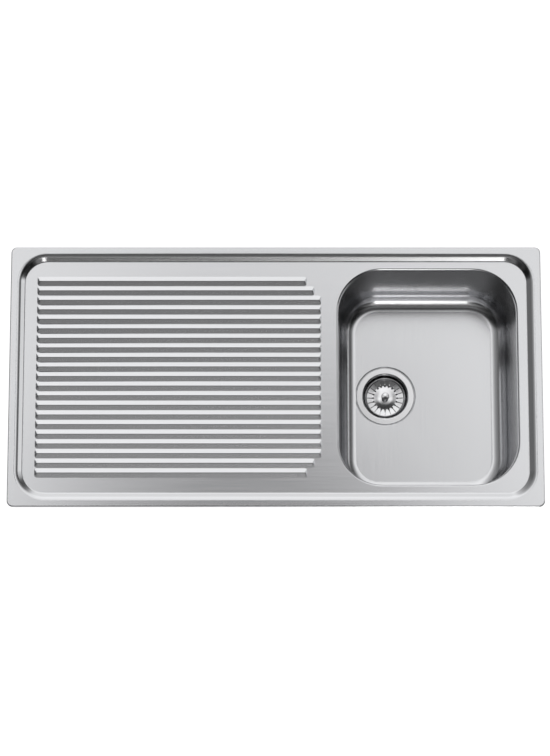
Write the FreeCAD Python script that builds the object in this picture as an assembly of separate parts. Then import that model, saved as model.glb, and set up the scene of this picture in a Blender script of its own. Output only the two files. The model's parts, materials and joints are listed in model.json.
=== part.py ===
"""Inset stainless steel kitchen sink with a ribbed drainboard, a deep bowl and a basket strainer waste.

Millimetres. X runs along the long side, towards the bowl. Y runs to the back. Z runs up.
The origin is the middle of the sink, on the worktop surface, where the rim's sealing strip rests.
"""
import FreeCAD, Part
import math
import os

Vector = FreeCAD.Vector
UP = Vector(0, 0, 1)

# Whole sink
SINK_LENGTH = 1000.0
SINK_WIDTH = 500.0
SINK_CORNER = 12.0
SHEET = 0.8

# Rim and the step down to the well
RIM_WIDTH = 16.5
RIM_TOP = 5.0
RIM_EDGE_ROUND = 2.0
LIP_BOTTOM = 0.5
STEP_RUN = 10.5
DECK_TOP = -2.0
WELL_CORNER = 53.0
STEP_BROW_ROUND = 14.0
STEP_FOOT_ROUND = 4.0

# Drainboard ribs
RIB_COUNT = 21
RIB_PITCH = 18.45
RIB_WIDTH = 18.25
RIB_HEIGHT = 4.6
RIB_END_RUN = 5.5
RIB_CORNER = 4.5
RIB_RIDGE_ROUND = 2.0
RIB_PLAN_SPARE = 0.02  # keeps the corner walls clear of the slopes' lower edges
RIB_LEFT_END = -450.0
RIB_RIGHT_END = 86.0
RIB_SECOND_STEP_BACK = 13.1
RIB_FIRST_STEP_BACK = 27.4

# Bowl
BOWL_X = 285.0
BOWL_LENGTH = 338.0
BOWL_WIDTH = 414.0
BOWL_CORNER = 83.0
BOWL_DEPTH = 165.0
BOWL_DRAFT = math.radians(3.5)
BOWL_EDGE_ROUND = 3.0
BOWL_FLOOR_ROUND = 30.0
SKIRT_DEPTH = 6.0

# Waste, in the bowl floor
WASTE_X = 212.0
RECESS_RADIUS = 58.0
RECESS_DEPTH = 2.5
WASTE_HOLE_RADIUS = 45.0
FLANGE_RADIUS = 56.4
FLANGE_RAISE = 0.1
CUP_RADIUS = 42.5
SEAT_OUTER_RADIUS = 30.0
SEAT_INNER_RADIUS = 21.5
SUMP_DEPTH = 6.0
SUMP_SLOTS = 6
SUMP_SLOT_RADII = (9.0, 17.5)
SPOKE_WIDTH = 4.0

# Strainer basket, its heights below the waste flange's top
BASKET_RADIUS = 38.6
BASKET_SHEET = 0.7
BASKET_RIM_DROP = 7.5
BASKET_TROUGH_DROP = 15.5
BASKET_DOME_DROP = 13.3
BASKET_RING_RISE = 1.7
SLIT_COUNT = 20
SLIT_WIDTH = 1.6
SLIT_LENGTH = 11.6
SLIT_END_RADIUS = 23.2
DROP_RADIUS = 1.75
KNOB_RADIUS = 7.5
KNOB_HEIGHT = 15.0
KNOB_PIN_HEIGHT = 12.0
VALVE_RADIUS = 26.5
VALVE_THICKNESS = 2.5
VALVE_WASHER_RADIUS = 9.0
VALVE_WASHER_THICKNESS = 1.2
STEM_RADIUS = 2.6

# Waste body and its screw
BODY_FLANGE_RADIUS = 55.0
BODY_FLANGE_THICKNESS = 4.0
BODY_WALL = 2.8
BODY_GAP = 1.7
FUNNEL_DEPTH = 21.0
HUB_RADIUS = 8.0
INSERT_RADIUS = 4.5
INSERT_LENGTH = 12.0
UNDER_SEAL_THICKNESS = 3.0
OUTLET_RADIUS = 23.9
OUTLET_BORE = 20.0
OUTLET_LENGTH = 24.0
THREAD_RADIUS = 3.0

# Rim seal and pads
SEAL_INSET = 2.0
SEAL_WIDTH = 10.0
PAD_THICKNESS = 2.5
PAD_CORNER = 15.0
DRAINER_PAD = (320.0, 240.0)
BOWL_PAD = (100.0, 230.0)
BOWL_PAD_OFFSET = 66.0

# Bonding tag and its M5 fasteners
TAG_X = 60.0
TAG_Y = -199.0
TAG_WIDTH = 15.0
TAG_FOOT = 20.0
TAG_LEG = 26.0
TAG_SHEET = 1.0
TAG_HOLE_DROP = 17.0
TAG_SCREW_RADIUS = 2.5
TAG_HOLE_RADIUS = 2.65
TAG_HEAD_RADIUS = 4.6
TAG_WASHER_RADIUS = 5.0

# Clamps
STUD_INSET = 6.0
STUD_END = -66.0
ARM_TOP = -52.0
ARM_THICKNESS = 2.0
ARM_WIDTH = 12.0
ARM_REACH = 31.0
ARM_HOLE_RADIUS = 3.3
TOE_HEIGHT = 6.0
ARM_RIB = (14.0, 1.5, 4.0)
NUT_HEIGHT = 8.0
NUT_BORE_RADIUS = 3.05
LONG_SIDE_CLAMPS = (-380.0, -100.0, BOWL_X)

# Worked out from the above
STEP_ANGLE = math.atan2(RIM_TOP - DECK_TOP, STEP_RUN)
WELL_LENGTH = SINK_LENGTH - 2 * RIM_WIDTH
WELL_WIDTH = SINK_WIDTH - 2 * RIM_WIDTH
DECK_LENGTH = WELL_LENGTH - 2 * STEP_RUN
DECK_WIDTH = WELL_WIDTH - 2 * STEP_RUN
DECK_UNDER = DECK_TOP - SHEET
RIM_UNDER = RIM_TOP - SHEET
WELD_Z = DECK_TOP - SKIRT_DEPTH
FLOOR_TOP = DECK_TOP - BOWL_DEPTH
FLOOR_UNDER = FLOOR_TOP - SHEET
RECESS_TOP = FLOOR_TOP - RECESS_DEPTH
RECESS_UNDER = RECESS_TOP - SHEET
FLANGE_TOP = FLOOR_TOP + FLANGE_RAISE
FLANGE_UNDER = FLANGE_TOP - SHEET
BASKET_TROUGH = FLANGE_TOP - BASKET_TROUGH_DROP
BASKET_DOME = FLANGE_TOP - BASKET_DOME_DROP
SEAT_TOP = BASKET_TROUGH - BASKET_SHEET - VALVE_THICKNESS
SUMP_TOP = SEAT_TOP - SUMP_DEPTH


def rounded_rectangle(length, width, corner, z, x=0.0):
    """A closed outline with round corners, centred on (x, 0) at height z."""
    outline = Part.makePlane(length, width, Vector(x - length / 2, -width / 2, z))
    flat = outline.extrude(UP)
    uprights = [e for e in flat.Edges if abs(e.tangentAt(e.FirstParameter).z) > 0.9]
    rounded = flat.makeFillet(corner, uprights)
    return [f for f in rounded.Faces if f.normalAt(0, 0).z < -0.9][0].OuterWire


def plate(length, width, corner, bottom, top, x=0.0):
    """A flat block with round corners."""
    return Part.Face(rounded_rectangle(length, width, corner, bottom, x)).extrude(UP * (top - bottom))


def level_edges(shape, z, reach_x=SINK_LENGTH, reach_y=SINK_WIDTH, x=0.0):
    """The edges lying flat at height z whose ends are within reach of (x, 0)."""
    found = []
    for edge in shape.Edges:
        box = edge.BoundBox
        if abs(box.ZMin - z) > 1e-4 or abs(box.ZMax - z) > 1e-4:
            continue
        if max(abs(box.XMin - x), abs(box.XMax - x)) <= reach_x / 2 + 0.01:
            if max(abs(box.YMin), abs(box.YMax)) <= reach_y / 2 + 0.01:
                found.append(edge)
    return found


def pan(sunk):
    """The space inside the rim, down to the deck; sunk by the sheet's thickness, it bounds the underside."""
    grown = sunk * math.tan(STEP_ANGLE / 2)
    brow = rounded_rectangle(
        WELL_LENGTH + 2 * grown, WELL_WIDTH + 2 * grown, WELL_CORNER + grown, RIM_TOP - sunk)
    foot = rounded_rectangle(
        DECK_LENGTH + 2 * grown, DECK_WIDTH + 2 * grown, WELL_CORNER - STEP_RUN + grown, DECK_TOP - sunk)
    body = Part.makeLoft([brow, foot], True, True)
    return body.makeFillet(STEP_FOOT_ROUND + sunk, level_edges(body, DECK_TOP - sunk))


def rib(sunk, left, right, y, floor_z):
    """A roof-shaped rib above floor_z: rounded ridge, sloping ends, corners rounded in plan."""
    side_slope = math.atan2(RIB_HEIGHT, RIB_WIDTH / 2)
    end_slope = math.atan2(RIB_HEIGHT, RIB_END_RUN)
    apex = DECK_TOP + RIB_HEIGHT - sunk / math.cos(side_slope)
    spread = (apex - floor_z) / math.tan(side_slope)
    section = [Vector(left, -spread, floor_z), Vector(left, spread, floor_z), Vector(left, 0, apex)]
    bar = Part.Face(Part.makePolygon(section + section[:1])).extrude(Vector(right - left, 0, 0))
    bar = bar.makeFillet(RIB_RIDGE_ROUND - sunk, [e for e in bar.Edges if e.BoundBox.ZMin > apex - 0.01])

    middle = (left + right) / 2
    reach = (right - left) / 2 - sunk / math.sin(end_slope)
    low = reach + (DECK_TOP - floor_z) / math.tan(end_slope)
    high = reach - (apex - DECK_TOP) / math.tan(end_slope)
    outline = [Vector(middle + x, -spread, floor_z) for x in (-low, low)]
    outline += [Vector(middle + x, -spread, apex) for x in (high, -high)]
    ends = Part.Face(Part.makePolygon(outline + outline[:1])).extrude(Vector(0, 2 * spread, 0))

    side_in = sunk * math.tan(side_slope / 2) - RIB_PLAN_SPARE
    end_in = sunk * math.tan(end_slope / 2) - RIB_PLAN_SPARE
    plan = plate(
        right - left - 2 * end_in, RIB_WIDTH - 2 * side_in, RIB_CORNER - side_in, floor_z, apex, middle)
    return bar.common(ends).common(plan).translated(Vector(0, y, 0))


def ribs(sunk, floor_z):
    """All the ribs above floor_z, or the hollows under them when sunk by the sheet's thickness."""
    bars = []
    for number in range(RIB_COUNT):
        from_edge = min(number, RIB_COUNT - 1 - number)
        step_back = {0: RIB_FIRST_STEP_BACK, 1: RIB_SECOND_STEP_BACK}.get(from_edge, 0.0)
        y = ((RIB_COUNT - 1) / 2 - number) * RIB_PITCH
        bars.append(rib(sunk, RIB_LEFT_END, RIB_RIGHT_END - step_back, y, floor_z))
    return bars


def sink_top():
    """The pressed top: turned-down edge, rim, step, ribbed deck and the skirt the bowl is welded to."""
    lid = plate(SINK_LENGTH, SINK_WIDTH, SINK_CORNER, LIP_BOTTOM, RIM_TOP)
    lid = lid.makeFillet(RIM_EDGE_ROUND, level_edges(lid, RIM_TOP))
    hollow = plate(
        SINK_LENGTH - 2 * SHEET, SINK_WIDTH - 2 * SHEET, SINK_CORNER - SHEET, LIP_BOTTOM, RIM_UNDER)
    hollow = hollow.makeFillet(RIM_EDGE_ROUND - SHEET, level_edges(hollow, RIM_UNDER))
    top = lid.cut(hollow).fuse(pan(SHEET))
    top = top.makeFillet(
        STEP_BROW_ROUND - SHEET, level_edges(top, RIM_UNDER, WELL_LENGTH + 4, WELL_WIDTH + 4))
    top = top.cut(pan(0.0))
    top = top.makeFillet(
        STEP_BROW_ROUND, level_edges(top, RIM_TOP, WELL_LENGTH + 4, WELL_WIDTH + 4))

    top = top.fuse(bowl_block(DECK_UNDER, WELD_Z, SHEET))
    top = top.makeFillet(
        BOWL_EDGE_ROUND - SHEET, level_edges(top, DECK_UNDER, BOWL_LENGTH + 4, BOWL_WIDTH + 4, BOWL_X))
    top = top.cut(bowl_block(DECK_TOP, WELD_Z, 0.0))
    top = top.makeFillet(
        BOWL_EDGE_ROUND, level_edges(top, DECK_TOP, BOWL_LENGTH + 4, BOWL_WIDTH + 4, BOWL_X))

    top = top.fuse(ribs(0.0, DECK_TOP - SHEET / 2))
    return top.cut(ribs(SHEET, DECK_UNDER - SHEET / 2))


def bowl_outline(z, grown):
    """The drawn-in outline of the bowl's wall at height z: its inside, or its outside when grown."""
    inset = (DECK_TOP - z) * math.tan(BOWL_DRAFT) - grown / math.cos(BOWL_DRAFT)
    return rounded_rectangle(
        BOWL_LENGTH - 2 * inset, BOWL_WIDTH - 2 * inset, BOWL_CORNER - inset, z, BOWL_X)


def bowl_block(top_z, bottom_z, grown):
    """What the bowl's wall encloses between two heights."""
    return Part.makeLoft([bowl_outline(top_z, grown), bowl_outline(bottom_z, grown)], True, True)


def bowl_space(grown):
    """The inside of the bowl below the weld, or its outside when grown by the sheet's thickness."""
    body = bowl_block(WELD_Z, FLOOR_TOP - grown, grown)
    return body.makeFillet(BOWL_FLOOR_ROUND + grown, level_edges(body, FLOOR_TOP - grown))


def waste_disc(radius, bottom, top):
    """A cylinder on the waste's axis."""
    return Part.makeCylinder(radius, top - bottom, Vector(WASTE_X, 0, bottom))


def bowl():
    """The drawn bowl, with the recess and hole for the waste."""
    body = bowl_space(SHEET)
    body = body.fuse(waste_disc(RECESS_RADIUS + SHEET, RECESS_UNDER, FLOOR_UNDER + SHEET / 2))
    body = body.cut(bowl_space(0.0))
    body = body.cut(waste_disc(RECESS_RADIUS, RECESS_TOP, FLOOR_TOP + SHEET))
    return body.cut(waste_disc(WASTE_HOLE_RADIUS, RECESS_UNDER - SHEET, RECESS_TOP + SHEET))


def turned_path(points):
    """Lines through (radius, height, rounding) points, with a tangent arc at each rounded one."""
    corners = [Vector(point[0], 0, point[1]) for point in points]
    edges = []
    start = corners[0]
    for index in range(1, len(points) - 1):
        corner = corners[index]
        rounding = points[index][2]
        back = (corners[index - 1] - corner).normalize()
        ahead = (corners[index + 1] - corner).normalize()
        half = back.getAngle(ahead) / 2
        first = corner + back * (rounding / math.tan(half))
        last = corner + ahead * (rounding / math.tan(half))
        edges.append(Part.LineSegment(start, first).toShape())
        if rounding > 0:
            inward = (back + ahead).normalize()
            middle = corner + inward * (rounding / math.sin(half) - rounding)
            edges.append(Part.Arc(first, middle, last).toShape())
        start = last
    edges.append(Part.LineSegment(start, corners[-1]).toShape())
    return Part.Wire(edges)


def turned_sheet(points, thickness):
    """Sheet metal turned about the waste's axis. The points are on its upper face, from the edge inwards."""
    section = turned_path(points).makeOffset2D(thickness, 0, True, True)
    return section.revolve(Vector(), UP, 360).translated(Vector(WASTE_X, 0, 0))


def turned_block(points):
    """A solid turned about the waste's axis from a closed outline."""
    closed = turned_path(points + [points[0]])
    return Part.Face(closed).revolve(Vector(), UP, 360).translated(Vector(WASTE_X, 0, 0))


def around_waste(shape, count):
    """The same shape repeated round the waste's axis."""
    centre = Vector(WASTE_X, 0, 0)
    return [shape.rotated(centre, UP, 360 / count * turn) for turn in range(count)]


def waste_flange():
    """The ring that shows in the bowl, and the cup that the basket sits in."""
    cup = turned_sheet([
        (FLANGE_RADIUS, FLANGE_TOP - 2.2, 0),
        (FLANGE_RADIUS - 0.8, FLANGE_TOP, 1.2),
        (CUP_RADIUS, FLANGE_TOP, 3.5),
        (CUP_RADIUS - 1.5, SEAT_TOP + 4.0, 4.0),
        (SEAT_OUTER_RADIUS, SEAT_TOP, 6.0),
        (SEAT_INNER_RADIUS, SEAT_TOP, 1.5),
        (SEAT_INNER_RADIUS - 1.0, SUMP_TOP, 1.5),
        (THREAD_RADIUS + 0.3, SUMP_TOP, 0),
    ], SHEET)
    below, above = SUMP_TOP - 2 * SHEET, SUMP_TOP + SHEET
    slots = ring(SUMP_SLOT_RADII[1], SUMP_SLOT_RADII[0], below, above)
    corner = Vector(WASTE_X, -SPOKE_WIDTH / 2, below)
    spoke = Part.makeBox(SEAT_INNER_RADIUS, SPOKE_WIDTH, above - below, corner)
    return cup.cut(slots.cut(around_waste(spoke, SUMP_SLOTS)))


def strainer_basket():
    """The slotted basket: raised rim, short wall, slotted ring that falls slightly, trough and low dome."""
    rim = FLANGE_TOP - BASKET_RIM_DROP
    basket = turned_sheet([
        (BASKET_RADIUS, rim - 1.8, 0),
        (BASKET_RADIUS - 0.4, rim, 0.9),
        (BASKET_RADIUS - 2.0, rim, 0.9),
        (BASKET_RADIUS - 2.4, BASKET_TROUGH + BASKET_RING_RISE, 1.2),
        (24.4, BASKET_TROUGH, 6.0),
        (21.8, BASKET_TROUGH, 6.0),
        (14.0, BASKET_TROUGH + 1.5, 40.0),
        (6.5, BASKET_DOME, 30.0),
        (STEM_RADIUS, BASKET_DOME, 0),
    ], BASKET_SHEET)
    low = BASKET_TROUGH - 2 * BASKET_SHEET
    height = rim - low
    inner_end = Vector(WASTE_X + SLIT_END_RADIUS, 0, low)
    slit = Part.makeBox(SLIT_LENGTH, SLIT_WIDTH, height, inner_end - Vector(0, SLIT_WIDTH / 2, 0))
    drop = Part.makeCylinder(DROP_RADIUS, height, inner_end)
    return basket.cut(around_waste(slit.fuse(drop), SLIT_COUNT))


def basket_knob():
    """The finger knob on the basket."""
    foot = BASKET_DOME
    return turned_block([
        (2.4, foot, 0), (5.6, foot, 0.4), (4.4, foot + 3.2, 3.0), (KNOB_RADIUS, foot + 9.6, 1.5),
        (KNOB_RADIUS, foot + 13.6, 1.4), (0, foot + KNOB_HEIGHT, 0), (0, foot + KNOB_PIN_HEIGHT, 0),
        (2.4, foot + KNOB_PIN_HEIGHT, 0),
    ])


def basket_stem():
    """The turned stem that holds the valve disc under the basket and the knob over it."""
    washer_under = SEAT_TOP - VALVE_WASHER_THICKNESS
    foot = washer_under - 0.7
    valve_top = SEAT_TOP + VALVE_THICKNESS
    dome_under = BASKET_DOME - BASKET_SHEET
    tip = BASKET_DOME + KNOB_PIN_HEIGHT
    return turned_block([
        (0, foot, 0), (4.2, foot, 0), (4.2, washer_under, 0), (STEM_RADIUS, washer_under, 0),
        (STEM_RADIUS, valve_top, 0), (5.0, valve_top, 0), (5.0, dome_under, 0), (2.4, dome_under, 0),
        (2.4, tip, 0), (0, tip, 0),
    ])


def ring(outer, inner, bottom, top):
    """A flat ring on the waste's axis."""
    return waste_disc(outer, bottom, top).cut(waste_disc(inner, bottom, top))


def waste_body():
    """The plastic body under the bowl: flange, cup, funnel, outlet and the spider that takes the screw."""
    top = RECESS_UNDER - UNDER_SEAL_THICKNESS
    flange_under = top - BODY_FLANGE_THICKNESS
    inner = CUP_RADIUS + BODY_GAP
    outer = inner + BODY_WALL
    deep = SUMP_TOP - 3.0
    outlet_top = deep - FUNNEL_DEPTH
    outlet_end = outlet_top - OUTLET_LENGTH
    shell = turned_block([
        (inner, top, 0), (inner, deep, 3.0), (OUTLET_BORE, outlet_top + 2, 3.0), (OUTLET_BORE, outlet_end, 0),
        (OUTLET_RADIUS, outlet_end, 1.0), (OUTLET_RADIUS, outlet_top, 0),
        (OUTLET_BORE + BODY_WALL + 3, outlet_top, 0.5), (outer, deep - 1.5, 4.0), (outer, flange_under, 1.5),
        (BODY_FLANGE_RADIUS, flange_under, 1.0), (BODY_FLANGE_RADIUS, top, 0),
    ])
    spoke_top = deep - 2.0
    spoke = Part.makeBox(inner + 1, 3.0, INSERT_LENGTH, Vector(WASTE_X, -1.5, spoke_top - INSERT_LENGTH))
    funnel = turned_block([
        (0, spoke_top, 0), (inner + 0.5, spoke_top, 0), (inner + 0.5, deep - 2.5, 0),
        (OUTLET_BORE + 1.5, outlet_top + 3, 0), (0, outlet_top + 3, 0),
    ])
    spokes = [arm.common(funnel) for arm in around_waste(spoke, 4)]
    hub = waste_disc(HUB_RADIUS, spoke_top - INSERT_LENGTH - 2, spoke_top)
    body = shell.fuse(spokes + [hub])
    return body.cut(waste_disc(INSERT_RADIUS, spoke_top - INSERT_LENGTH - 3, spoke_top + 1))


def hub_insert():
    """The threaded brass insert in the spider's hub."""
    top = SUMP_TOP - 5.0
    return ring(INSERT_RADIUS, THREAD_RADIUS, top - INSERT_LENGTH, top)


def waste_screw():
    """The pan-head screw through the cup into the insert, with a cross recess."""
    shank = waste_disc(THREAD_RADIUS, SUMP_TOP - 20.0, SUMP_TOP)
    head = waste_disc(5.8, SUMP_TOP, SUMP_TOP + 3.4)
    head = head.makeFillet(1.6, [e for e in head.Edges if e.BoundBox.ZMin > SUMP_TOP + 3.3])
    screw = head.fuse(shank)
    for turn in (0, 90):
        slot = Part.makeBox(7.0, 1.1, 1.8, Vector(WASTE_X - 3.5, -0.55, SUMP_TOP + 1.8))
        screw = screw.cut(slot.rotated(Vector(WASTE_X, 0, 0), UP, turn))
    return screw


def rim_seal():
    """The foam strip between the rim and the worktop."""
    length, width = SINK_LENGTH - 2 * SEAL_INSET, SINK_WIDTH - 2 * SEAL_INSET
    corner = SINK_CORNER - SEAL_INSET
    strip = plate(length, width, corner, 0.0, RIM_UNDER)
    inside = plate(length - 2 * SEAL_WIDTH, width - 2 * SEAL_WIDTH, 2 * corner, 0.0, RIM_UNDER)
    return strip.cut(inside)


def drainer_sound_pad():
    """The pad stuck under the ribbed deck."""
    middle = (RIB_LEFT_END + RIB_RIGHT_END) / 2
    return plate(*DRAINER_PAD, PAD_CORNER, DECK_UNDER - PAD_THICKNESS, DECK_UNDER, middle)


def bowl_sound_pad():
    """The pad stuck under the bowl floor, clear of the waste."""
    middle = BOWL_X + BOWL_PAD_OFFSET
    return plate(*BOWL_PAD, PAD_CORNER, FLOOR_UNDER - PAD_THICKNESS, FLOOR_UNDER, middle)


def across_tag(radius, start, length):
    """A cylinder along Y through the tag's hole, starting that far behind the tag's leg."""
    return Part.makeCylinder(
        radius, length, Vector(TAG_X, TAG_Y + start, DECK_UNDER - TAG_HOLE_DROP), Vector(0, 1, 0))


def earth_tag():
    """The bonding tag spot-welded under the front of the deck."""
    left = TAG_X - TAG_WIDTH / 2
    foot = Part.makeBox(
        TAG_WIDTH, TAG_FOOT, TAG_SHEET, Vector(left, TAG_Y + TAG_SHEET - TAG_FOOT, DECK_UNDER - TAG_SHEET))
    leg = Part.makeBox(TAG_WIDTH, TAG_SHEET, TAG_LEG, Vector(left, TAG_Y, DECK_UNDER - TAG_LEG))
    return foot.fuse(leg).removeSplitter().cut(across_tag(TAG_HOLE_RADIUS, -TAG_SHEET, 3 * TAG_SHEET))


def earth_fasteners():
    """The bonding screw with its washer and nut, as separate solids."""
    head = across_tag(TAG_HEAD_RADIUS, -4.0, 3.0)
    screw = head.fuse(across_tag(TAG_SCREW_RADIUS, -1.0, 14.0)).removeSplitter()
    washer = across_tag(TAG_WASHER_RADIUS, -1.0, 1.0).cut(across_tag(TAG_HOLE_RADIUS, -1.0, 1.0))
    centre = Vector(TAG_X, TAG_Y + TAG_SHEET, DECK_UNDER - TAG_HOLE_DROP)
    corner = centre + Vector(TAG_HEAD_RADIUS, 0, 0)
    turned = Part.Vertex(corner)
    hexagon = [turned.rotated(centre, Vector(0, 1, 0), 60 * turn).Point for turn in range(7)]
    nut = Part.Face(Part.makePolygon(hexagon)).extrude(Vector(0, 4, 0))
    nut = nut.cut(across_tag(TAG_SCREW_RADIUS, 0.0, 6.0))
    return Part.makeCompound([screw, washer, nut])


def clamp_places():
    """Where each clamp's stud stands, and the turn that points its swung-out arm over the worktop."""
    side_y = DECK_WIDTH / 2 - STUD_INSET
    end_x = DECK_LENGTH / 2 - STUD_INSET
    back = [(Vector(x, side_y, 0), 0) for x in LONG_SIDE_CLAMPS]
    front = [(Vector(x, -side_y, 0), 180) for x in LONG_SIDE_CLAMPS]
    return back + front + [(Vector(-end_x, 0, 0), 90), (Vector(end_x, 0, 0), 270)]


def clip_stud():
    """A welded stud, on the Z axis."""
    foot = Part.makeCylinder(4.0, 0.8, Vector(0, 0, DECK_UNDER - 0.8))
    rod = Part.makeCylinder(THREAD_RADIUS, DECK_UNDER - STUD_END, Vector(0, 0, STUD_END))
    rod = rod.makeChamfer(0.6, [e for e in rod.Edges if e.BoundBox.ZMax < STUD_END + 0.1])
    return foot.fuse(rod).removeSplitter()


def clip_arm():
    """A clamping arm stowed along +X, with its toe turned up and toothed."""
    half = ARM_WIDTH / 2
    under = ARM_TOP - ARM_THICKNESS
    strip = Part.makeBox(ARM_REACH, ARM_WIDTH, ARM_THICKNESS, Vector(0, -half, under))
    heel = Part.makeCylinder(half, ARM_THICKNESS, Vector(0, 0, under))
    toe = Part.makeBox(
        ARM_THICKNESS, ARM_WIDTH, TOE_HEIGHT + ARM_THICKNESS, Vector(ARM_REACH - ARM_THICKNESS, -half, under))
    arm = strip.fuse([heel, toe])
    rib_start, rib_width, rib_height = ARM_RIB
    for side in (-half, half - rib_width):
        corner = Vector(rib_start, side, under - rib_height)
        arm = arm.fuse(Part.makeBox(ARM_REACH - rib_start, rib_width, rib_height, corner))
    arm = arm.removeSplitter()
    for notch in (-2.0, 2.0):
        points = [(notch - 1.5, 0.1), (notch + 1.5, 0.1), (notch, -2.0), (notch - 1.5, 0.1)]
        corners = [Vector(ARM_REACH - 3, y, ARM_TOP + TOE_HEIGHT + z) for y, z in points]
        arm = arm.cut(Part.Face(Part.makePolygon(corners)).extrude(Vector(4, 0, 0)))
    return arm.cut(Part.makeCylinder(ARM_HOLE_RADIUS, 10, Vector(0, 0, under - 5)))


def clip_nut():
    """A wing nut bearing on the underside of the arm."""
    top = ARM_TOP - ARM_THICKNESS
    nut = Part.makeCone(5.0, 6.2, NUT_HEIGHT, Vector(0, 0, top - NUT_HEIGHT))
    outline = [(3.5, -2.0), (8.0, -4.0), (12.5, -9.0), (12.0, -13.0), (8.5, -13.5), (4.6, -7.5), (3.5, -2.0)]
    for side in (1, -1):
        corners = [Vector(side * x, -1.2, top + z) for x, z in outline]
        nut = nut.fuse(Part.Face(Part.makePolygon(corners)).extrude(Vector(0, 2.4, 0)))
    return nut.cut(Part.makeCylinder(NUT_BORE_RADIUS, 30, Vector(0, 0, top - 20)))


def placed(shape, place):
    """The shape moved from the Z axis to a clamp's place."""
    spot, turn = place
    return shape.rotated(Vector(), UP, turn).translated(spot)


def all_parts():
    """Every sub-part by its name."""
    places = clamp_places()
    parts = {
        "sink_top": sink_top(),
        "bowl": bowl(),
        "rim_seal": rim_seal(),
        "drainer_sound_pad": drainer_sound_pad(),
        "bowl_sound_pad": bowl_sound_pad(),
        "earth_tag": earth_tag(),
        "earth_fasteners": earth_fasteners(),
        "waste_flange": waste_flange(),
        "flange_seal": ring(FLANGE_RADIUS - 2.4, WASTE_HOLE_RADIUS + 0.5, RECESS_TOP, FLANGE_UNDER),
        "under_seal": ring(
            BODY_FLANGE_RADIUS, WASTE_HOLE_RADIUS + 0.5, RECESS_UNDER - UNDER_SEAL_THICKNESS, RECESS_UNDER),
        "waste_body": waste_body(),
        "hub_insert": hub_insert(),
        "waste_screw": waste_screw(),
        "strainer_basket": strainer_basket(),
        "basket_knob": basket_knob(),
        "basket_stem": basket_stem(),
        "basket_seal": ring(VALVE_RADIUS, STEM_RADIUS, SEAT_TOP, SEAT_TOP + VALVE_THICKNESS),
        "seal_washer": ring(
            VALVE_WASHER_RADIUS, STEM_RADIUS, SEAT_TOP - VALVE_WASHER_THICKNESS, SEAT_TOP),
        "clip_studs": Part.makeCompound([placed(clip_stud(), place) for place in places]),
    }
    for number, place in enumerate(places, start=1):
        parts[f"clip_nut_{number}"] = placed(clip_nut(), place)
        parts[f"clip_arm_{number}"] = placed(clip_arm(), place)
    return parts


os.makedirs("parts", exist_ok=True)
for name, shape in all_parts().items():
    shape.exportStep(f"parts/{name}.step")
    box = shape.BoundBox
    print(f"{name:20} solids {len(shape.Solids)} valid {shape.isValid()} volume {shape.Volume:.0f} mm3 "
          f"z {box.ZMin:.2f} to {box.ZMax:.2f}")
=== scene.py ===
import json
import math

import bmesh
import bpy
from mathutils import Matrix


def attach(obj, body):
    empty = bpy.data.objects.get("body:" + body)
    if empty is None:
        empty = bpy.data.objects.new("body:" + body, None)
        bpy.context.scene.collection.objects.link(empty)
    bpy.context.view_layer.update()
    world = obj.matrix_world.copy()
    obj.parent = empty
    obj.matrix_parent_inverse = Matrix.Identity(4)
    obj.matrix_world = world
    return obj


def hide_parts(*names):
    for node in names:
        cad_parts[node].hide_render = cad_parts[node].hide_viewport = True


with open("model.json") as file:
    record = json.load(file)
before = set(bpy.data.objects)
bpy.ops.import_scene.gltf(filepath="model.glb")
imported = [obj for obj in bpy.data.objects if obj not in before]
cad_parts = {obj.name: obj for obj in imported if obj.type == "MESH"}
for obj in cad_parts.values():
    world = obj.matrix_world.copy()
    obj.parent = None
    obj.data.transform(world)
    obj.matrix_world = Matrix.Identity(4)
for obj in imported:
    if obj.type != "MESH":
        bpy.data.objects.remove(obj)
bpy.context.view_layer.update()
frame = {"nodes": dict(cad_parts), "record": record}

# Modelled in millimetres and made metres at the end. X runs towards the bowl, Y to the back, Z up.
METRES = 0.001

# Pressed top
SINK_LENGTH = 1000.0
SINK_WIDTH = 500.0
SINK_CORNER = 12.0
SHEET = 0.8
RIM_WIDTH = 16.5
RIM_TOP = 5.0
RIM_EDGE_ROUND = 2.0
LIP_BOTTOM = 0.5
STEP_RUN = 10.5
DECK_TOP = -2.0
WELL_CORNER = 53.0
STEP_BROW_ROUND = 14.0
STEP_FOOT_ROUND = 4.0

# Drainboard ribs
RIB_COUNT = 21
RIB_PITCH = 18.45
RIB_WIDTH = 18.25
RIB_HEIGHT = 4.6
RIB_END_RUN = 3.6
RIB_CORNER = 5.5
RIB_RIDGE_ROUND = 2.0
RIB_LEFT_END = -450.0
RIB_RIGHT_END = 86.0
RIB_SECOND_STEP_BACK = 13.1
RIB_FIRST_STEP_BACK = 27.4

# Bowl and the recess for the waste
BOWL_X = 285.0
BOWL_LENGTH = 338.0
BOWL_WIDTH = 414.0
BOWL_CORNER = 83.0
BOWL_DEPTH = 165.0
BOWL_WALL_ANGLE = 86.5
BOWL_EDGE_ROUND = 3.0
BOWL_FLOOR_ROUND = 30.0
SKIRT_DEPTH = 6.0
WASTE_X = 212.0
RECESS_RADIUS = 58.0
RECESS_DEPTH = 2.5
RECESS_ROUND = 0.8
RECESS_WALL_ANGLE = 80.0
WASTE_HOLE_RADIUS = 45.0

# Threads, drawn as bump only: M6 on the studs, and 11 per inch on the outlet
STUD_PITCH = 1.0
STUD_THREAD_DEPTH = 0.3
STUD_THREAD_TOP = -4.0
STUD_THREAD_END = -66.0
OUTLET_PITCH = 2.31
OUTLET_THREAD_DEPTH = 0.8
OUTLET_THREAD_TOP = -217.0
OUTLET_THREAD_END = -238.6

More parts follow.
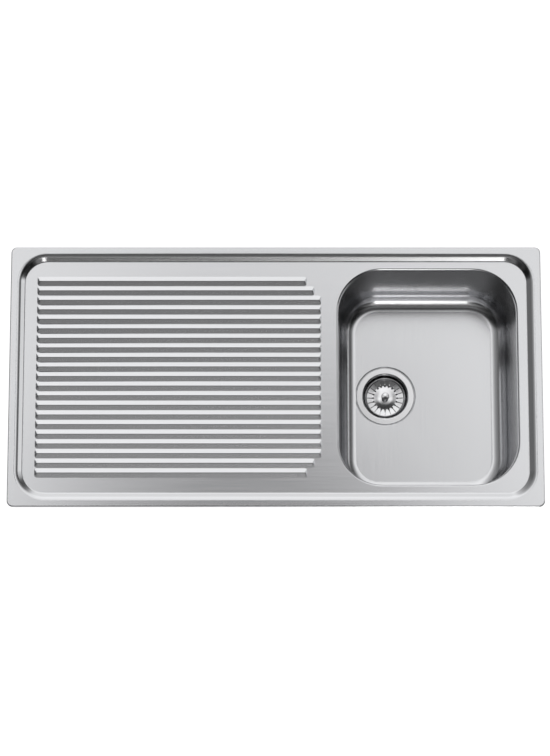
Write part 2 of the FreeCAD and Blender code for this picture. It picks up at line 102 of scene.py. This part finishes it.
# Worked out from the above
STEP_ANGLE = math.degrees(math.atan2(RIM_TOP - DECK_TOP, STEP_RUN))
WELL_LENGTH = SINK_LENGTH - 2 * RIM_WIDTH
WELL_WIDTH = SINK_WIDTH - 2 * RIM_WIDTH
WELD_Z = DECK_TOP - SKIRT_DEPTH
FLOOR_TOP = DECK_TOP - BOWL_DEPTH

# Edges that turn more than this are left sharp
SHARP_FROM = math.radians(22.0)
# The flat beside a bend gets an edge this close to it, so that only the bend is shaded as a curve
BESIDE_BEND = 0.3
BESIDE_RECESS_BEND = 0.2

# Steps round each bend and corner
CORNER_STEPS = 14
CIRCLE_STEPS = 96
RIM_EDGE_STEPS = 5
STEP_BROW_STEPS = 8
STEP_FOOT_STEPS = 5
BOWL_EDGE_STEPS = 6
BOWL_FLOOR_STEPS = 14
RECESS_STEPS = 4
RIB_CORNER_STEPS = 5
RIB_RIDGE_STEPS = 4

# A rib is cut from a block this much higher, and gets an edge across it this far inside each end's slope
RIB_CUT_OFF = 1.0
BESIDE_RIB_END = 3.0
# How far up a rib's faces look: its floor looks down, and its slopes look up more than its sides do
FLOOR_NORMAL_BELOW = -0.9
SLOPE_NORMAL_ABOVE = 0.2

# Bump strengths, and how far the grain moves the steel's roughness
GRAIN_BUMP = 0.25
MOULD_BUMP = 0.3
THREAD_BUMP = 0.8
SMOOTHER, ROUGHER = 0.85, 1.2


# ---- shaping ----

def rounded_face(bm, length, width, corner, z, x=0.0, steps=CORNER_STEPS):
    """A flat face with round corners, centred on (x, 0)."""
    corners = bmesh.ops.create_grid(bm, x_segments=1, y_segments=1, size=0.5)["verts"]
    bmesh.ops.scale(bm, vec=(length, width, 1.0), verts=corners)
    bmesh.ops.translate(bm, vec=(x, 0.0, z), verts=corners)
    rounded = bmesh.ops.bevel(
        bm, geom=corners, offset=corner, segments=steps, profile=0.5, affect="VERTICES", material=-1)
    return rounded["verts"][0].link_faces[0]


def round_face(bm, radius, z, x):
    """A flat round face centred on (x, 0)."""
    place = Matrix.Translation((x, 0.0, z))
    rim = bmesh.ops.create_circle(
        bm, cap_ends=True, segments=CIRCLE_STEPS, radius=radius, matrix=place)["verts"]
    return rim[0].link_faces[0]


def bend(radius, start, end, steps):
    """The (inward, up) moves round a bend in sheet metal, between two angles in degrees below level."""
    way = 1.0 if end > start else -1.0
    angles = [math.radians(start + (end - start) * step / steps) for step in range(steps + 1)]
    return [(way * radius * (math.sin(b) - math.sin(a)), way * radius * (math.cos(b) - math.cos(a)))
            for a, b in zip(angles, angles[1:])]


def straight(length, angle, beside=BESIDE_BEND):
    """The (inward, up) moves along a straight slope, with an edge close to each end."""
    slope = (math.cos(math.radians(angle)), -math.sin(math.radians(angle)))
    return [(part * slope[0], part * slope[1]) for part in (beside, length - 2 * beside, beside)]


def bend_reach(radius, turn):
    """How far a bend's end is from where its two straights would meet."""
    return radius * math.tan(math.radians(turn) / 2)


def press(bm, face, moves):
    """Press a face in step by step, leaving a ring of faces behind at each step."""
    for inward, up in moves:
        bmesh.ops.inset_region(
            bm, faces=[face], thickness=inward, use_even_offset=True, use_boundary=True)
        bmesh.ops.translate(bm, vec=(0.0, 0.0, up), verts=face.verts)


def leave_border(bm, face):
    """Press a flat border into a face beside a bend, and give back the edges round its outside."""
    border = bmesh.ops.inset_region(
        bm, faces=[face], thickness=BESIDE_BEND, use_even_offset=True, use_boundary=True)["faces"]
    return [edge for part in border for edge in part.edges if edge.is_boundary]


def take_out(bm, face):
    """Delete a face and give back the edges that went round it."""
    edges = list(face.edges)
    bmesh.ops.delete(bm, geom=[face], context="FACES_ONLY")
    return edges


def fill_between(bm, edges):
    """Fill the flat area inside the outermost of some loops of edges, but not inside the others."""
    bmesh.ops.triangle_fill(bm, use_beauty=True, use_dissolve=False, edges=edges, normal=(0.0, 0.0, 1.0))


# ---- finishing ----

def finished(name, bm, material, body, nodes, wall):
    """Make a shape a piece: give it its wall, shade it, and put it in place of its CAD nodes."""
    bmesh.ops.scale(bm, vec=(METRES, METRES, METRES), verts=bm.verts)
    mesh = bpy.data.meshes.new(name)
    bm.to_mesh(mesh)
    bm.free()
    piece = bpy.data.objects.new(name, mesh)
    bpy.context.collection.objects.link(piece)
    solidify = piece.modifiers.new("Wall", "SOLIDIFY")
    solidify.thickness = wall * METRES
    solidify.offset = -1.0
    depsgraph = bpy.context.evaluated_depsgraph_get()
    walled = bpy.data.meshes.new_from_object(piece.evaluated_get(depsgraph))
    piece.modifiers.clear()
    piece.data = walled
    piece.data.name = name
    piece.data.shade_smooth()
    piece.data.set_sharp_from_angle(angle=SHARP_FROM)
    piece.data.materials.clear()
    piece.data.materials.append(material)
    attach(piece, body)
    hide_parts(*nodes)


# ---- materials ----

def linear(colour):
    """An sRGB hex colour as linear light, with full alpha."""
    levels = [int(colour[place:place + 2], 16) / 255 for place in (0, 2, 4)]
    return tuple([v / 12.92 if v <= 0.04045 else ((v + 0.055) / 1.055) ** 2.4 for v in levels] + [1.0])


def add_node(tree, kind, sockets=None, **settings):
    """Add a node with its settings, and set or link its input sockets."""
    node = tree.nodes.new(kind)
    for name, value in settings.items():
        setattr(node, name, value)
    for socket, value in (sockets or {}).items():
        if isinstance(value, bpy.types.NodeSocket):
            tree.links.new(value, node.inputs[socket])
        else:
            node.inputs[socket].default_value = value
    return node


def new_material(name, colour, metallic, roughness):
    """A material with its shader's plain values set, and its tree and shader to add to."""
    material = bpy.data.materials.new(name)
    material.use_nodes = True
    material.diffuse_color = linear(colour)
    tree = material.node_tree
    shader = tree.nodes["Principled BSDF"]
    shader.inputs["Base Color"].default_value = linear(colour)
    shader.inputs["Metallic"].default_value = metallic
    shader.inputs["Roughness"].default_value = roughness
    return material, tree, shader


def brushed_steel(name, dark, light, roughness, grain_width, grain_length, along, depth):
    """Stainless sheet with a fine grain: streaks of tone and roughness along one axis, and slight waves."""
    material, tree, shader = new_material(name, light, 1.0, roughness)
    place = add_node(tree, "ShaderNodeTexCoord").outputs["Object"]
    stretch = [1.0 / (grain_width * METRES)] * 3
    stretch["XYZ".index(along)] = 1.0 / (grain_length * METRES)
    run = add_node(tree, "ShaderNodeMapping", {"Vector": place, "Scale": stretch}).outputs["Vector"]
    grain = add_node(tree, "ShaderNodeTexNoise", {
        "Vector": run, "Scale": 1.0, "Detail": 3.0, "Roughness": 0.6}).outputs["Fac"]
    tone = add_node(tree, "ShaderNodeMix", {
        "Factor": grain, "A": linear(dark), "B": linear(light)}, data_type="RGBA")
    tree.links.new(tone.outputs[2], shader.inputs["Base Color"])
    sheen = add_node(tree, "ShaderNodeMapRange", {
        "Value": grain, "To Min": roughness * SMOOTHER, "To Max": roughness * ROUGHER}).outputs["Result"]
    tree.links.new(sheen, shader.inputs["Roughness"])
    bump = add_node(tree, "ShaderNodeBump", {
        "Height": grain, "Strength": GRAIN_BUMP, "Distance": depth * METRES}).outputs["Normal"]
    tree.links.new(bump, shader.inputs["Normal"])
    return material


def moulded(name, colour, roughness, speck, depth):
    """A plain moulded material with a faint texture."""
    material, tree, shader = new_material(name, colour, 0.0, roughness)
    place = add_node(tree, "ShaderNodeTexCoord").outputs["Object"]
    noise = add_node(tree, "ShaderNodeTexNoise", {
        "Vector": place, "Scale": 1.0 / (speck * METRES), "Detail": 2.0}).outputs["Fac"]
    bump = add_node(tree, "ShaderNodeBump", {
        "Height": noise, "Strength": MOULD_BUMP, "Distance": depth * METRES}).outputs["Normal"]
    tree.links.new(bump, shader.inputs["Normal"])
    return material


def cut_thread(material, pitch, depth, top, bottom):
    """Add the ridges of a thread round the Z axis, between two heights."""
    tree = material.node_tree
    shader = tree.nodes["Principled BSDF"]
    place = add_node(tree, "ShaderNodeTexCoord").outputs["Object"]
    height = add_node(tree, "ShaderNodeSeparateXYZ", {"Vector": place}).outputs["Z"]
    turn = add_node(tree, "ShaderNodeMath", {
        0: height, 1: 2 * math.pi / (pitch * METRES)}, operation="MULTIPLY").outputs[0]
    ridge = add_node(tree, "ShaderNodeMath", {0: turn}, operation="SINE").outputs[0]
    middle, reach = (top + bottom) / 2 * METRES, (top - bottom) / 2 * METRES
    inside = add_node(tree, "ShaderNodeMath", {
        0: height, 1: middle, 2: reach}, operation="COMPARE").outputs[0]
    ridge = add_node(tree, "ShaderNodeMath", {0: ridge, 1: inside}, operation="MULTIPLY").outputs[0]
    texture = shader.inputs["Normal"].links[0].from_socket
    bump = add_node(tree, "ShaderNodeBump", {
        "Height": ridge, "Normal": texture, "Strength": THREAD_BUMP, "Distance": depth * METRES})
    tree.links.new(bump.outputs["Normal"], shader.inputs["Normal"])


# Austenitic stainless sheet, belt-brushed along the sink: a soft grey mirror that smears reflections a little
# across its fine lines. The real lines are about 0.05 mm apart, and are drawn 1.6 mm wide so that they show.
satin_top = brushed_steel("satin_stainless", "C1C2C4", "CCCCCE", 0.17, 1.6, 160.0, "X", 0.003)

# The same sheet deep drawn and brushed again inside the bowl: smoother, so its walls show soft, deep bands.
satin_bowl = brushed_steel("satin_drawn_stainless", "C6C7C9", "D3D3D5", 0.20, 1.6, 90.0, "Y", 0.0015)

# Polished stainless of the waste: brighter and sharper than the sheet round it, with hard dark and light
# rings.
polished = brushed_steel("polished_stainless", "CECED0", "D7D7D8", 0.15, 1.2, 1.2, "X", 0.001)

# Zinc plated steel of the clamps and bonding screw: bluish grey and dull, slightly mottled by the bath.
zinc = brushed_steel("zinc_plate", "A9ADB2", "BDC0C2", 0.35, 3.0, 3.0, "X", 0.004)

# Rolled stainless studs: M6 thread of 1 mm pitch, which breaks the rod's highlight into short dashes.
threaded = brushed_steel("rolled_stainless_thread", "B4B4B4", "C4C4C4", 0.28, 0.6, 0.6, "X", 0.004)
cut_thread(threaded, STUD_PITCH, STUD_THREAD_DEPTH, STUD_THREAD_TOP, STUD_THREAD_END)

# Turned brass of the insert: warm yellow with a satin turned face.
brass = brushed_steel("turned_brass", "B8935A", "CBA86A", 0.28, 0.6, 0.6, "X", 0.004)

# Injection moulded polypropylene of the waste body: milky white with a soft sheen and an 11 per inch thread.
plastic = moulded("moulded_polypropylene", "E6E6E2", 0.42, 0.8, 0.02)
cut_thread(plastic, OUTLET_PITCH, OUTLET_THREAD_DEPTH, OUTLET_THREAD_TOP, OUTLET_THREAD_END)

# Moulded nitrile rubber of the seals: near black, matt.
rubber = moulded("moulded_nitrile_rubber", "1C1C1D", 0.6, 0.6, 0.03)

# Closed-cell foam strip under the rim: dark grey, dead matt, with its cut cells showing as fine pits.
foam = moulded("closed_cell_foam", "3A3A3B", 0.9, 0.9, 0.3)

# Bitumen damping sheet: dark grey, matt and faintly grained, as rolled.
bitumen = moulded("bitumen_pad", "3E3E40", 0.85, 1.5, 0.2)

finish_of_slot = {
    "stainless_sheet": satin_top,
    "polished_stainless": polished,
    "stainless_studs": threaded,
    "zinc_plated_steel": zinc,
    "brass_insert": brass,
    "white_plastic": plastic,
    "black_rubber": rubber,
    "foam_strip": foam,
    "damping_pad": bitumen,
}
for node_name, node_object in frame["nodes"].items():
    slot_name = next(s["material_slot"] for s in frame["record"]["subparts"] if s["node"] == node_name)
    node_object.data.materials.clear()
    node_object.data.materials.append(finish_of_slot[slot_name])


# ---- pressed top ----

def turned_edge(bm):
    """The turned-down edge and its bend up onto the rim. Gives back the edges where the flat rim begins."""
    face = rounded_face(bm, SINK_LENGTH, SINK_WIDTH, SINK_CORNER, LIP_BOTTOM)
    press(bm, face, straight(RIM_TOP - RIM_EDGE_ROUND - LIP_BOTTOM, -90.0))
    press(bm, face, bend(RIM_EDGE_ROUND, -90.0, 0.0, RIM_EDGE_STEPS))
    press(bm, face, [(BESIDE_BEND, 0.0)])
    return take_out(bm, face)


def step_down(bm):
    """The rounded step from the rim to the deck. Gives back the edges of the two flats beside it."""
    brow = bend_reach(STEP_BROW_ROUND, STEP_ANGLE)
    foot = bend_reach(STEP_FOOT_ROUND, STEP_ANGLE)
    slope = math.hypot(STEP_RUN, RIM_TOP - DECK_TOP) - brow - foot
    start = brow + BESIDE_BEND
    face = rounded_face(
        bm, WELL_LENGTH + 2 * start, WELL_WIDTH + 2 * start, WELL_CORNER + start, RIM_TOP)
    rim_edges = leave_border(bm, face)
    press(bm, face, bend(STEP_BROW_ROUND, 0.0, STEP_ANGLE, STEP_BROW_STEPS))
    press(bm, face, straight(slope, STEP_ANGLE))
    press(bm, face, bend(STEP_FOOT_ROUND, STEP_ANGLE, 0.0, STEP_FOOT_STEPS))
    press(bm, face, [(BESIDE_BEND, 0.0)])
    return rim_edges, take_out(bm, face)


def bowl_mouth(bm):
    """The bend down into the bowl and the skirt below it. Gives back the edges on the flat deck."""
    start = bend_reach(BOWL_EDGE_ROUND, BOWL_WALL_ANGLE) + BESIDE_BEND
    face = rounded_face(
        bm, BOWL_LENGTH + 2 * start, BOWL_WIDTH + 2 * start, BOWL_CORNER + start, DECK_TOP, BOWL_X)
    deck_edges = leave_border(bm, face)
    press(bm, face, bend(BOWL_EDGE_ROUND, 0.0, BOWL_WALL_ANGLE, BOWL_EDGE_STEPS))
    skirt = SKIRT_DEPTH / math.sin(math.radians(BOWL_WALL_ANGLE))
    skirt -= bend_reach(BOWL_EDGE_ROUND, BOWL_WALL_ANGLE)
    press(bm, face, straight(skirt, BOWL_WALL_ANGLE))
    take_out(bm, face)
    return deck_edges


def slice_off(bm, point, outward):
    """Cut away what lies beyond a plane and close the cut."""
    geometry = bm.verts[:] + bm.edges[:] + bm.faces[:]
    cut = bmesh.ops.bisect_plane(
        bm, geom=geometry, plane_co=point, plane_no=outward, clear_outer=True)["geom_cut"]
    bmesh.ops.contextual_create(bm, geom=[part for part in cut if isinstance(part, bmesh.types.BMEdge)])


def rib_shell(length):
    """One rib's upper skin, centred on the origin: two long slopes, two short ones, and rounded ridges."""
    bm = bmesh.new()
    outline = rounded_face(bm, length, RIB_WIDTH, RIB_CORNER, 0.0, steps=RIB_CORNER_STEPS)
    walls = bmesh.ops.extrude_face_region(bm, geom=[outline])["geom"]
    raised = [part for part in walls if isinstance(part, bmesh.types.BMVert)]
    bmesh.ops.translate(bm, vec=(0.0, 0.0, RIB_HEIGHT + RIB_CUT_OFF), verts=raised)
    for side in (-1.0, 1.0):
        slice_off(bm, (0.0, side * RIB_WIDTH / 2, 0.0), (0.0, side * RIB_HEIGHT, RIB_WIDTH / 2))
        slice_off(bm, (side * length / 2, 0.0, 0.0), (side * RIB_HEIGHT, 0.0, RIB_END_RUN))

    bmesh.ops.recalc_face_normals(bm, faces=bm.faces)
    floor = [face for face in bm.faces if face.normal.z < FLOOR_NORMAL_BELOW]
    bmesh.ops.delete(bm, geom=floor, context="FACES_ONLY")
    slopes = [face for face in bm.faces if face.normal.z > SLOPE_NORMAL_ABOVE]
    ridges = [edge for edge in bm.edges if all(face in slopes for face in edge.link_faces)
              and len(edge.link_faces) == 2]
    half_angle = math.atan2(RIB_WIDTH / 2, RIB_HEIGHT)
    cut_back = RIB_RIDGE_ROUND / math.tan(half_angle)
    bmesh.ops.bevel(
        bm, geom=ridges, offset=cut_back, segments=RIB_RIDGE_STEPS, profile=0.5, affect="EDGES", material=-1)

    ridge_edge = cut_back * math.sin(half_angle) + BESIDE_BEND
    for side in (-1.0, 1.0):
        for point, across in (
                ((0.0, side * ridge_edge, 0.0), (0.0, 1.0, 0.0)),
                ((side * (length / 2 - RIB_END_RUN - BESIDE_RIB_END), 0.0, 0.0), (1.0, 0.0, 0.0))):
            bmesh.ops.bisect_plane(
                bm, geom=bm.verts[:] + bm.edges[:] + bm.faces[:], plane_co=point, plane_no=across)
    return bm


def pressed_ribs(bm):
    """The drainer's ribs, the first two at each side shorter than the rest. Gives back their outlines."""
    outlines = []
    for number in range(RIB_COUNT):
        from_edge = min(number, RIB_COUNT - 1 - number)
        step_back = {0: RIB_FIRST_STEP_BACK, 1: RIB_SECOND_STEP_BACK}.get(from_edge, 0.0)
        right_end = RIB_RIGHT_END - step_back
        shell = rib_shell(right_end - RIB_LEFT_END)
        place = ((RIB_LEFT_END + right_end) / 2, ((RIB_COUNT - 1) / 2 - number) * RIB_PITCH, DECK_TOP)
        bmesh.ops.translate(shell, vec=place, verts=shell.verts)
        mesh = bpy.data.meshes.new("rib")
        shell.to_mesh(mesh)
        shell.free()
        before = len(bm.edges)
        bm.from_mesh(mesh)
        bpy.data.meshes.remove(mesh)
        bm.edges.ensure_lookup_table()
        outlines += [edge for edge in bm.edges[before:] if edge.is_boundary]
    return outlines


def pressed_top():
    """The one pressing: turned edge, flat rim, step, deck with ribs, and the bowl's mouth."""
    bm = bmesh.new()
    outer = turned_edge(bm)
    rim, deck = step_down(bm)
    mouth = bowl_mouth(bm)
    fill_between(bm, outer + rim)
    fill_between(bm, deck + mouth + pressed_ribs(bm))
    bmesh.ops.recalc_face_normals(bm, faces=bm.faces)
    finished("pressed_top", bm, satin_top, "sink", ["sink_top"], wall=SHEET)


# ---- drawn bowl ----

def drawn_bowl():
    """The bowl below the weld: drafted wall, round foot, flat floor, and the recess round the waste hole."""
    bm = bmesh.new()
    drawn_in = 2 * SKIRT_DEPTH / math.tan(math.radians(BOWL_WALL_ANGLE))
    face = rounded_face(
        bm, BOWL_LENGTH - drawn_in, BOWL_WIDTH - drawn_in, BOWL_CORNER - drawn_in / 2, WELD_Z, BOWL_X)
    wall = (WELD_Z - FLOOR_TOP) / math.sin(math.radians(BOWL_WALL_ANGLE))
    wall -= bend_reach(BOWL_FLOOR_ROUND, BOWL_WALL_ANGLE)
    press(bm, face, straight(wall, BOWL_WALL_ANGLE))
    press(bm, face, bend(BOWL_FLOOR_ROUND, BOWL_WALL_ANGLE, 0.0, BOWL_FLOOR_STEPS))
    press(bm, face, [(BESIDE_BEND, 0.0)])
    floor = take_out(bm, face)

    turn_in = RECESS_ROUND * math.sin(math.radians(RECESS_WALL_ANGLE))
    turn_down = RECESS_ROUND * (1.0 - math.cos(math.radians(RECESS_WALL_ANGLE)))
    side = (RECESS_DEPTH - 2 * turn_down) / math.sin(math.radians(RECESS_WALL_ANGLE))
    start = RECESS_RADIUS + turn_in + BESIDE_BEND
    recess = round_face(bm, start, FLOOR_TOP, WASTE_X)
    recess_edges = leave_border(bm, recess)
    press(bm, recess, bend(RECESS_ROUND, 0.0, RECESS_WALL_ANGLE, RECESS_STEPS))
    press(bm, recess, straight(side, RECESS_WALL_ANGLE, BESIDE_RECESS_BEND))
    press(bm, recess, bend(RECESS_ROUND, RECESS_WALL_ANGLE, 0.0, RECESS_STEPS))
    press(bm, recess, [(BESIDE_BEND, 0.0)])
    left = RECESS_RADIUS - turn_in - side * math.cos(math.radians(RECESS_WALL_ANGLE)) - BESIDE_BEND
    press(bm, recess, [(left - WASTE_HOLE_RADIUS, 0.0)])
    take_out(bm, recess)
    fill_between(bm, floor + recess_edges)
    bmesh.ops.recalc_face_normals(bm, faces=bm.faces)
    finished("drawn_bowl", bm, satin_bowl, "sink", ["bowl"], wall=SHEET)


pressed_top()
drawn_bowl()


# ---- floor, light and camera ----

# Distances here are in metres, and the lens and sensor in millimetres
FLOOR_Z = -0.9
FLOOR_HALF_SIZE = 6.0
FLOOR_COLOUR = "C8C8C8"
FLOOR_LIFT = 0.85
CAMERA_DISTANCE = 5.0
CAMERA_LEAN = math.radians(13.5)
CAMERA_TILT = math.radians(11.0)
CAMERA_LENS = 126.9
CAMERA_SENSOR = 36.0
CAMERA_CLIP_END = 50.0
CAMERA_SHIFT_Y = 0.1516
CAMERA_ASIDE = -0.0016


def pale_floor():
    """A plain pale floor that shows white, keeps the sink's soft shadow, and is clear from below."""
    bm = bmesh.new()
    bmesh.ops.create_grid(bm, x_segments=1, y_segments=1, size=FLOOR_HALF_SIZE)
    bmesh.ops.translate(bm, vec=(0.0, 0.0, FLOOR_Z), verts=bm.verts)
    mesh = bpy.data.meshes.new("floor")
    bm.to_mesh(mesh)
    bm.free()
    floor = bpy.data.objects.new("floor", mesh)
    bpy.context.collection.objects.link(floor)
    material = bpy.data.materials.new("pale_floor")
    material.use_nodes = True
    tree = material.node_tree
    tree.nodes.clear()
    path = add_node(tree, "ShaderNodeLightPath")
    seen = add_node(tree, "ShaderNodeMath", {
        0: path.outputs["Is Camera Ray"], 1: path.outputs["Is Glossy Ray"]}, operation="MAXIMUM")
    seen = add_node(tree, "ShaderNodeMath", {
        0: seen.outputs[0], 1: path.outputs["Is Transmission Ray"]}, operation="MAXIMUM")
    lift = add_node(tree, "ShaderNodeMath", {0: seen.outputs[0], 1: FLOOR_LIFT}, operation="MULTIPLY")
    glow = add_node(tree, "ShaderNodeEmission", {
        "Color": (1.0, 1.0, 1.0, 1.0), "Strength": lift.outputs[0]})
    matt = add_node(tree, "ShaderNodeBsdfDiffuse", {"Color": linear(FLOOR_COLOUR)})
    both = add_node(tree, "ShaderNodeAddShader", {0: glow.outputs[0], 1: matt.outputs[0]})
    clear = add_node(tree, "ShaderNodeBsdfTransparent")
    below = add_node(tree, "ShaderNodeNewGeometry").outputs["Backfacing"]
    either = add_node(tree, "ShaderNodeMixShader", {
        0: below, 1: both.outputs[0], 2: clear.outputs[0]})
    add_node(tree, "ShaderNodeOutputMaterial", {"Surface": either.outputs[0]})
    mesh.materials.append(material)


def ramp(tree, value, stops):
    """A grey ramp over -1 to 1, of (place, level) stops."""
    placed = add_node(tree, "ShaderNodeMapRange", {
        "Value": value, "From Min": -1.0, "From Max": 1.0}).outputs["Result"]
    node = add_node(tree, "ShaderNodeValToRGB", {"Fac": placed})
    elements = node.color_ramp.elements
    while len(elements) < len(stops):
        elements.new(0.5)
    for element, (position, level) in zip(elements, stops):
        element.position = (position + 1.0) / 2
        element.color = (level, level, level, 1.0)
    return node.outputs["Color"]


def patch(tree, way, centre, radii, fade):
    """A soft oval patch of the tent, placed by the X and Y of a direction, fading towards its edge."""
    scale = (1.0 / radii[0], 1.0 / radii[1], 0.0)
    shift = (-centre[0] * scale[0], -centre[1] * scale[1], 0.0)
    place = add_node(tree, "ShaderNodeMapping", {"Vector": way, "Location": shift, "Scale": scale})
    inward = add_node(tree, "ShaderNodeTexGradient", {
        "Vector": place.outputs["Vector"]}, gradient_type="SPHERICAL").outputs["Fac"]
    return add_node(tree, "ShaderNodeMapRange", {"Value": inward, "From Max": fade}).outputs["Result"]


def product(tree, first, second):
    """Two levels or colours multiplied."""
    return add_node(tree, "ShaderNodeVectorMath", {0: first, 1: second}, operation="MULTIPLY").outputs[0]


# How bright the tent is from front (-1) to back (1) and from left (-1) to right (1), in parts of LIGHT_LEVEL.
# The stops and patches were set by trial, until the steel's tones came close to the photo's.
LIGHT_LEVEL = 1.74
FORE_AFT = (
    (-1.0, 0.32), (-0.91, 0.34), (-0.86, 0.06), (-0.77, 0.0), (-0.70, 0.30), (-0.66, 0.34), (-0.60, 0.09),
    (-0.50, 0.05), (-0.42, 0.18), (-0.34, 0.16), (-0.27, 0.04), (-0.20, 0.03), (-0.05, 0.05), (0.04, 0.14),
    (0.10, 0.60), (0.16, 0.98), (0.22, 1.0), (0.25, 0.84), (0.28, 0.73), (0.45, 0.82), (0.92, 0.90),
    (0.98, 0.75), (1.0, 0.6))
SIDEWAYS = (
    (-1.0, 0.3), (-0.93, 0.25), (-0.88, 0.14), (-0.80, 0.12), (-0.70, 0.20), (-0.50, 0.28), (-0.39, 0.42),
    (-0.26, 0.58), (-0.16, 0.92), (-0.10, 1.0), (-0.03, 0.92), (0.03, 0.94), (0.10, 0.92), (0.25, 0.8),
    (0.35, 0.55), (0.45, 0.25), (0.60, 0.08), (0.75, 0.08), (0.84, 0.7), (0.90, 1.0), (1.0, 0.9))
CAMERA_SHADE = {"centre": (-0.013, 0.158), "radii": (0.09, 0.10), "fade": 0.4}
CAMERA_SHADE_DEPTH = 1.0
FRONT_GLOW = {"centre": (0.09, -0.87), "radii": (0.055, 0.19), "fade": 0.3}
FRONT_GLOW_LEVEL = 2.8
FRONT_GLOW_COLOUR = "F4F3F1"


def studio_light():
    """A soft tent of light: bright behind, dim in front and at the sides, shaded round the camera."""
    world = bpy.data.worlds.new("studio")
    bpy.context.scene.world = world
    world.use_nodes = True
    tree = world.node_tree
    tree.nodes.clear()
    way = add_node(tree, "ShaderNodeTexCoord").outputs["Generated"]
    parts = add_node(tree, "ShaderNodeSeparateXYZ", {"Vector": way})
    tent = product(tree, ramp(tree, parts.outputs["Y"], FORE_AFT), ramp(tree, parts.outputs["X"], SIDEWAYS))
    shade = add_node(tree, "ShaderNodeMath", {
        0: patch(tree, way, **CAMERA_SHADE), 1: -CAMERA_SHADE_DEPTH, 2: 1.0}, operation="MULTIPLY_ADD")
    tent = product(tree, tent, shade.outputs[0])
    glow = product(tree, patch(tree, way, **FRONT_GLOW), [
        FRONT_GLOW_LEVEL * part for part in linear(FRONT_GLOW_COLOUR)[:3]])
    tent = add_node(tree, "ShaderNodeVectorMath", {0: tent, 1: glow}, operation="ADD").outputs[0]
    light = add_node(tree, "ShaderNodeBackground", {"Color": tent, "Strength": LIGHT_LEVEL})
    white = add_node(tree, "ShaderNodeBackground", {"Color": (1.0, 1.0, 1.0, 1.0), "Strength": 1.0})
    seen = add_node(tree, "ShaderNodeLightPath").outputs["Is Camera Ray"]
    either = add_node(tree, "ShaderNodeMixShader", {0: seen, 1: light.outputs[0], 2: white.outputs[0]})
    add_node(tree, "ShaderNodeOutputWorld", {"Surface": either.outputs[0]})


def photograph_camera():
    """A long lens above and a little in front of the sink."""
    camera = bpy.data.objects.new("camera", bpy.data.cameras.new("camera"))
    bpy.context.collection.objects.link(camera)
    bpy.context.scene.camera = camera
    camera.location = (
        CAMERA_ASIDE, -CAMERA_DISTANCE * math.sin(CAMERA_LEAN), CAMERA_DISTANCE * math.cos(CAMERA_LEAN))
    camera.rotation_euler = (CAMERA_TILT, 0.0, 0.0)
    camera.data.lens = CAMERA_LENS
    camera.data.sensor_width = CAMERA_SENSOR
    camera.data.shift_y = CAMERA_SHIFT_Y
    camera.data.clip_end = CAMERA_CLIP_END


pale_floor()
studio_light()
photograph_camera()
bpy.context.scene.view_settings.view_transform = "Standard"
